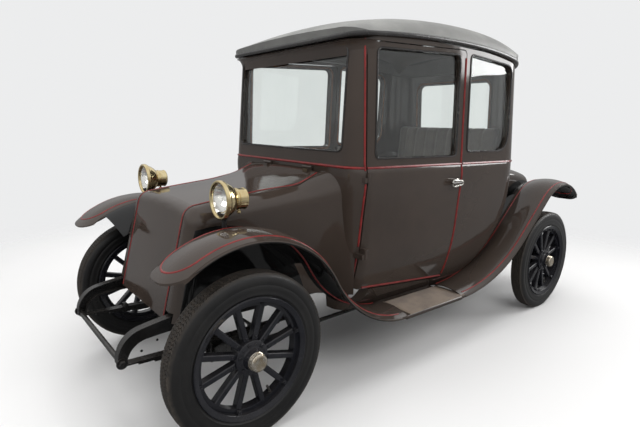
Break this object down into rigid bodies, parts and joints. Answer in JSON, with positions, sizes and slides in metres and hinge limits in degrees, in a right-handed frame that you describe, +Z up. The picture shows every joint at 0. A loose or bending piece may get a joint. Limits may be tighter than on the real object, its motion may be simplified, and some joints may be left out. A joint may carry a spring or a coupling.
{
  "type": "antique electric coupe automobile",
  "caption": "Closed electric coupe with sloping front hood, domed roof, sweeping fenders, wooden wheels, opening doors and lids, and tiller steering.",
  "frame": {"origin": "centre of the car's outline on the ground, midway between the axles", "axes": "+X forward, +Y to the car's left, +Z up"},
  "size_m": [3.597, 1.51, 2.0421],
  "materials": {
    "chassis_paint": "gloss black enamel",
    "wheel_paint": "painted dark grey wood with metal hub and rim",
    "tyre": "worn black rubber",
    "body_paint": "gloss dark brown coach paint",
    "motor_iron": "painted cast iron",
    "battery_case": "hard rubber cases",
    "roof_cover": "pale coated roof cloth",
    "glass": "clear plate glass",
    "board_paint": "brown ribbed matting on a painted board",
    "lamp_brass": "polished brass",
    "seat_wood": "varnished wood",
    "upholstery": "grey-brown broadcloth",
    "control_metal": "satin nickel"
  },
  "bodies": {
    "body": {"chassis_frame": "chassis_paint", "spring_front_left": "chassis_paint", "fender_front_left": "body_paint", "spring_front_right": "chassis_paint", "fender_front_right": "body_paint", "spring_rear_left": "chassis_paint", "fender_rear_left": "body_paint", "spring_rear_right": "chassis_paint", "fender_rear_right": "body_paint", "front_axle": "chassis_paint", "radius_rod_left": "chassis_paint", "radius_rod_right": "chassis_paint", "rear_axle": "chassis_paint", "drive_motor": "motor_iron", "battery_front": "battery_case", "battery_rear": "battery_case", "body_lower": "body_paint", "body_upper": "body_paint", "roof": "roof_cover", "windscreen_glass": "glass", "rear_glass": "glass", "quarter_glass_left": "glass", "quarter_glass_right": "glass", "running_board_left": "board_paint", "running_board_right": "board_paint", "headlamp_left": "lamp_brass", "headlamp_right": "lamp_brass", "seat_base": "seat_wood", "seat_cushion": "upholstery", "seat_back": "upholstery", "tiller_column": "control_metal"},
    "steering_left": {"knuckle_left": "chassis_paint"},
    "door_left": {"door_left": "body_paint", "door_glass_left": "glass"},
    "wheel_front_left": {"wheel_front_left": "wheel_paint", "tyre_front_left": "tyre"},
    "wheel_rear_left": {"wheel_rear_left": "wheel_paint", "tyre_rear_left": "tyre"},
    "steering_right": {"knuckle_right": "chassis_paint"},
    "door_right": {"door_right": "body_paint", "door_glass_right": "glass"},
    "wheel_front_right": {"wheel_front_right": "wheel_paint", "tyre_front_right": "tyre"},
    "wheel_rear_right": {"wheel_rear_right": "wheel_paint", "tyre_rear_right": "tyre"},
    "tie_rod": {"tie_rod": "chassis_paint"},
    "hood": {"hood_lid": "body_paint"},
    "deck": {"deck_lid": "body_paint"},
    "tiller": {"tiller": "control_metal"}
  },
  "joints": [
    {"name": "steer_left", "type": "hinge", "parent": "body", "child": "steering_left", "pos_m": [1.3335, 0.565, 0.381], "axis": [0, 0, 1], "range_deg": [-28, 28]},
    {"name": "spin_front_left", "type": "hinge", "parent": "steering_left", "child": "wheel_front_left", "pos_m": [1.3335, 0.661, 0.381], "axis": [0, 1, 0], "continuous": true},
    {"name": "spin_rear_left", "type": "hinge", "parent": "body", "child": "wheel_rear_left", "pos_m": [-1.3335, 0.661, 0.381], "axis": [0, 1, 0], "continuous": true},
    {"name": "door_left_swing", "type": "hinge", "parent": "body", "child": "door_left", "pos_m": [0.612, 0.636, 0.9], "axis": [0, 0, -1], "range_deg": [0, 70]},
    {"name": "steer_right", "type": "hinge", "parent": "body", "child": "steering_right", "pos_m": [1.3335, -0.565, 0.381], "axis": [0, 0, 1], "range_deg": [-28, 28]},
    {"name": "spin_front_right", "type": "hinge", "parent": "steering_right", "child": "wheel_front_right", "pos_m": [1.3335, -0.661, 0.381], "axis": [0, 1, 0], "continuous": true},
    {"name": "spin_rear_right", "type": "hinge", "parent": "body", "child": "wheel_rear_right", "pos_m": [-1.3335, -0.661, 0.381], "axis": [0, 1, 0], "continuous": true},
    {"name": "door_right_swing", "type": "hinge", "parent": "body", "child": "door_right", "pos_m": [0.612, -0.636, 0.9], "axis": [0, 0, 1], "range_deg": [0, 70]},
    {"name": "tie_rod_turn", "type": "hinge", "parent": "steering_left", "child": "tie_rod", "pos_m": [1.1835, 0.565, 0.403], "axis": [0, 0, 1], "range_deg": [-28, 28]},
    {"name": "hood_swing", "type": "hinge", "parent": "body", "child": "hood", "pos_m": [0.7, 0, 1.146], "axis": [0, -1, 0], "range_deg": [0, 55]},
    {"name": "deck_swing", "type": "hinge", "parent": "body", "child": "deck", "pos_m": [-1, 0, 1.124], "axis": [0, 1, 0], "range_deg": [0, 55]},
    {"name": "tiller_turn", "type": "hinge", "parent": "body", "child": "tiller", "pos_m": [-0.12, 0.47, 1.01], "axis": [0, 0, 1], "range_deg": [-20, 20]}
  ],
  "couplings": [
    {"joint": "steer_right", "follows": "steer_left", "ratio": 1},
    {"joint": "tie_rod_turn", "follows": "steer_left", "ratio": -1},
    {"joint": "tiller_turn", "follows": "steer_left", "ratio": 0.7}
  ]
}
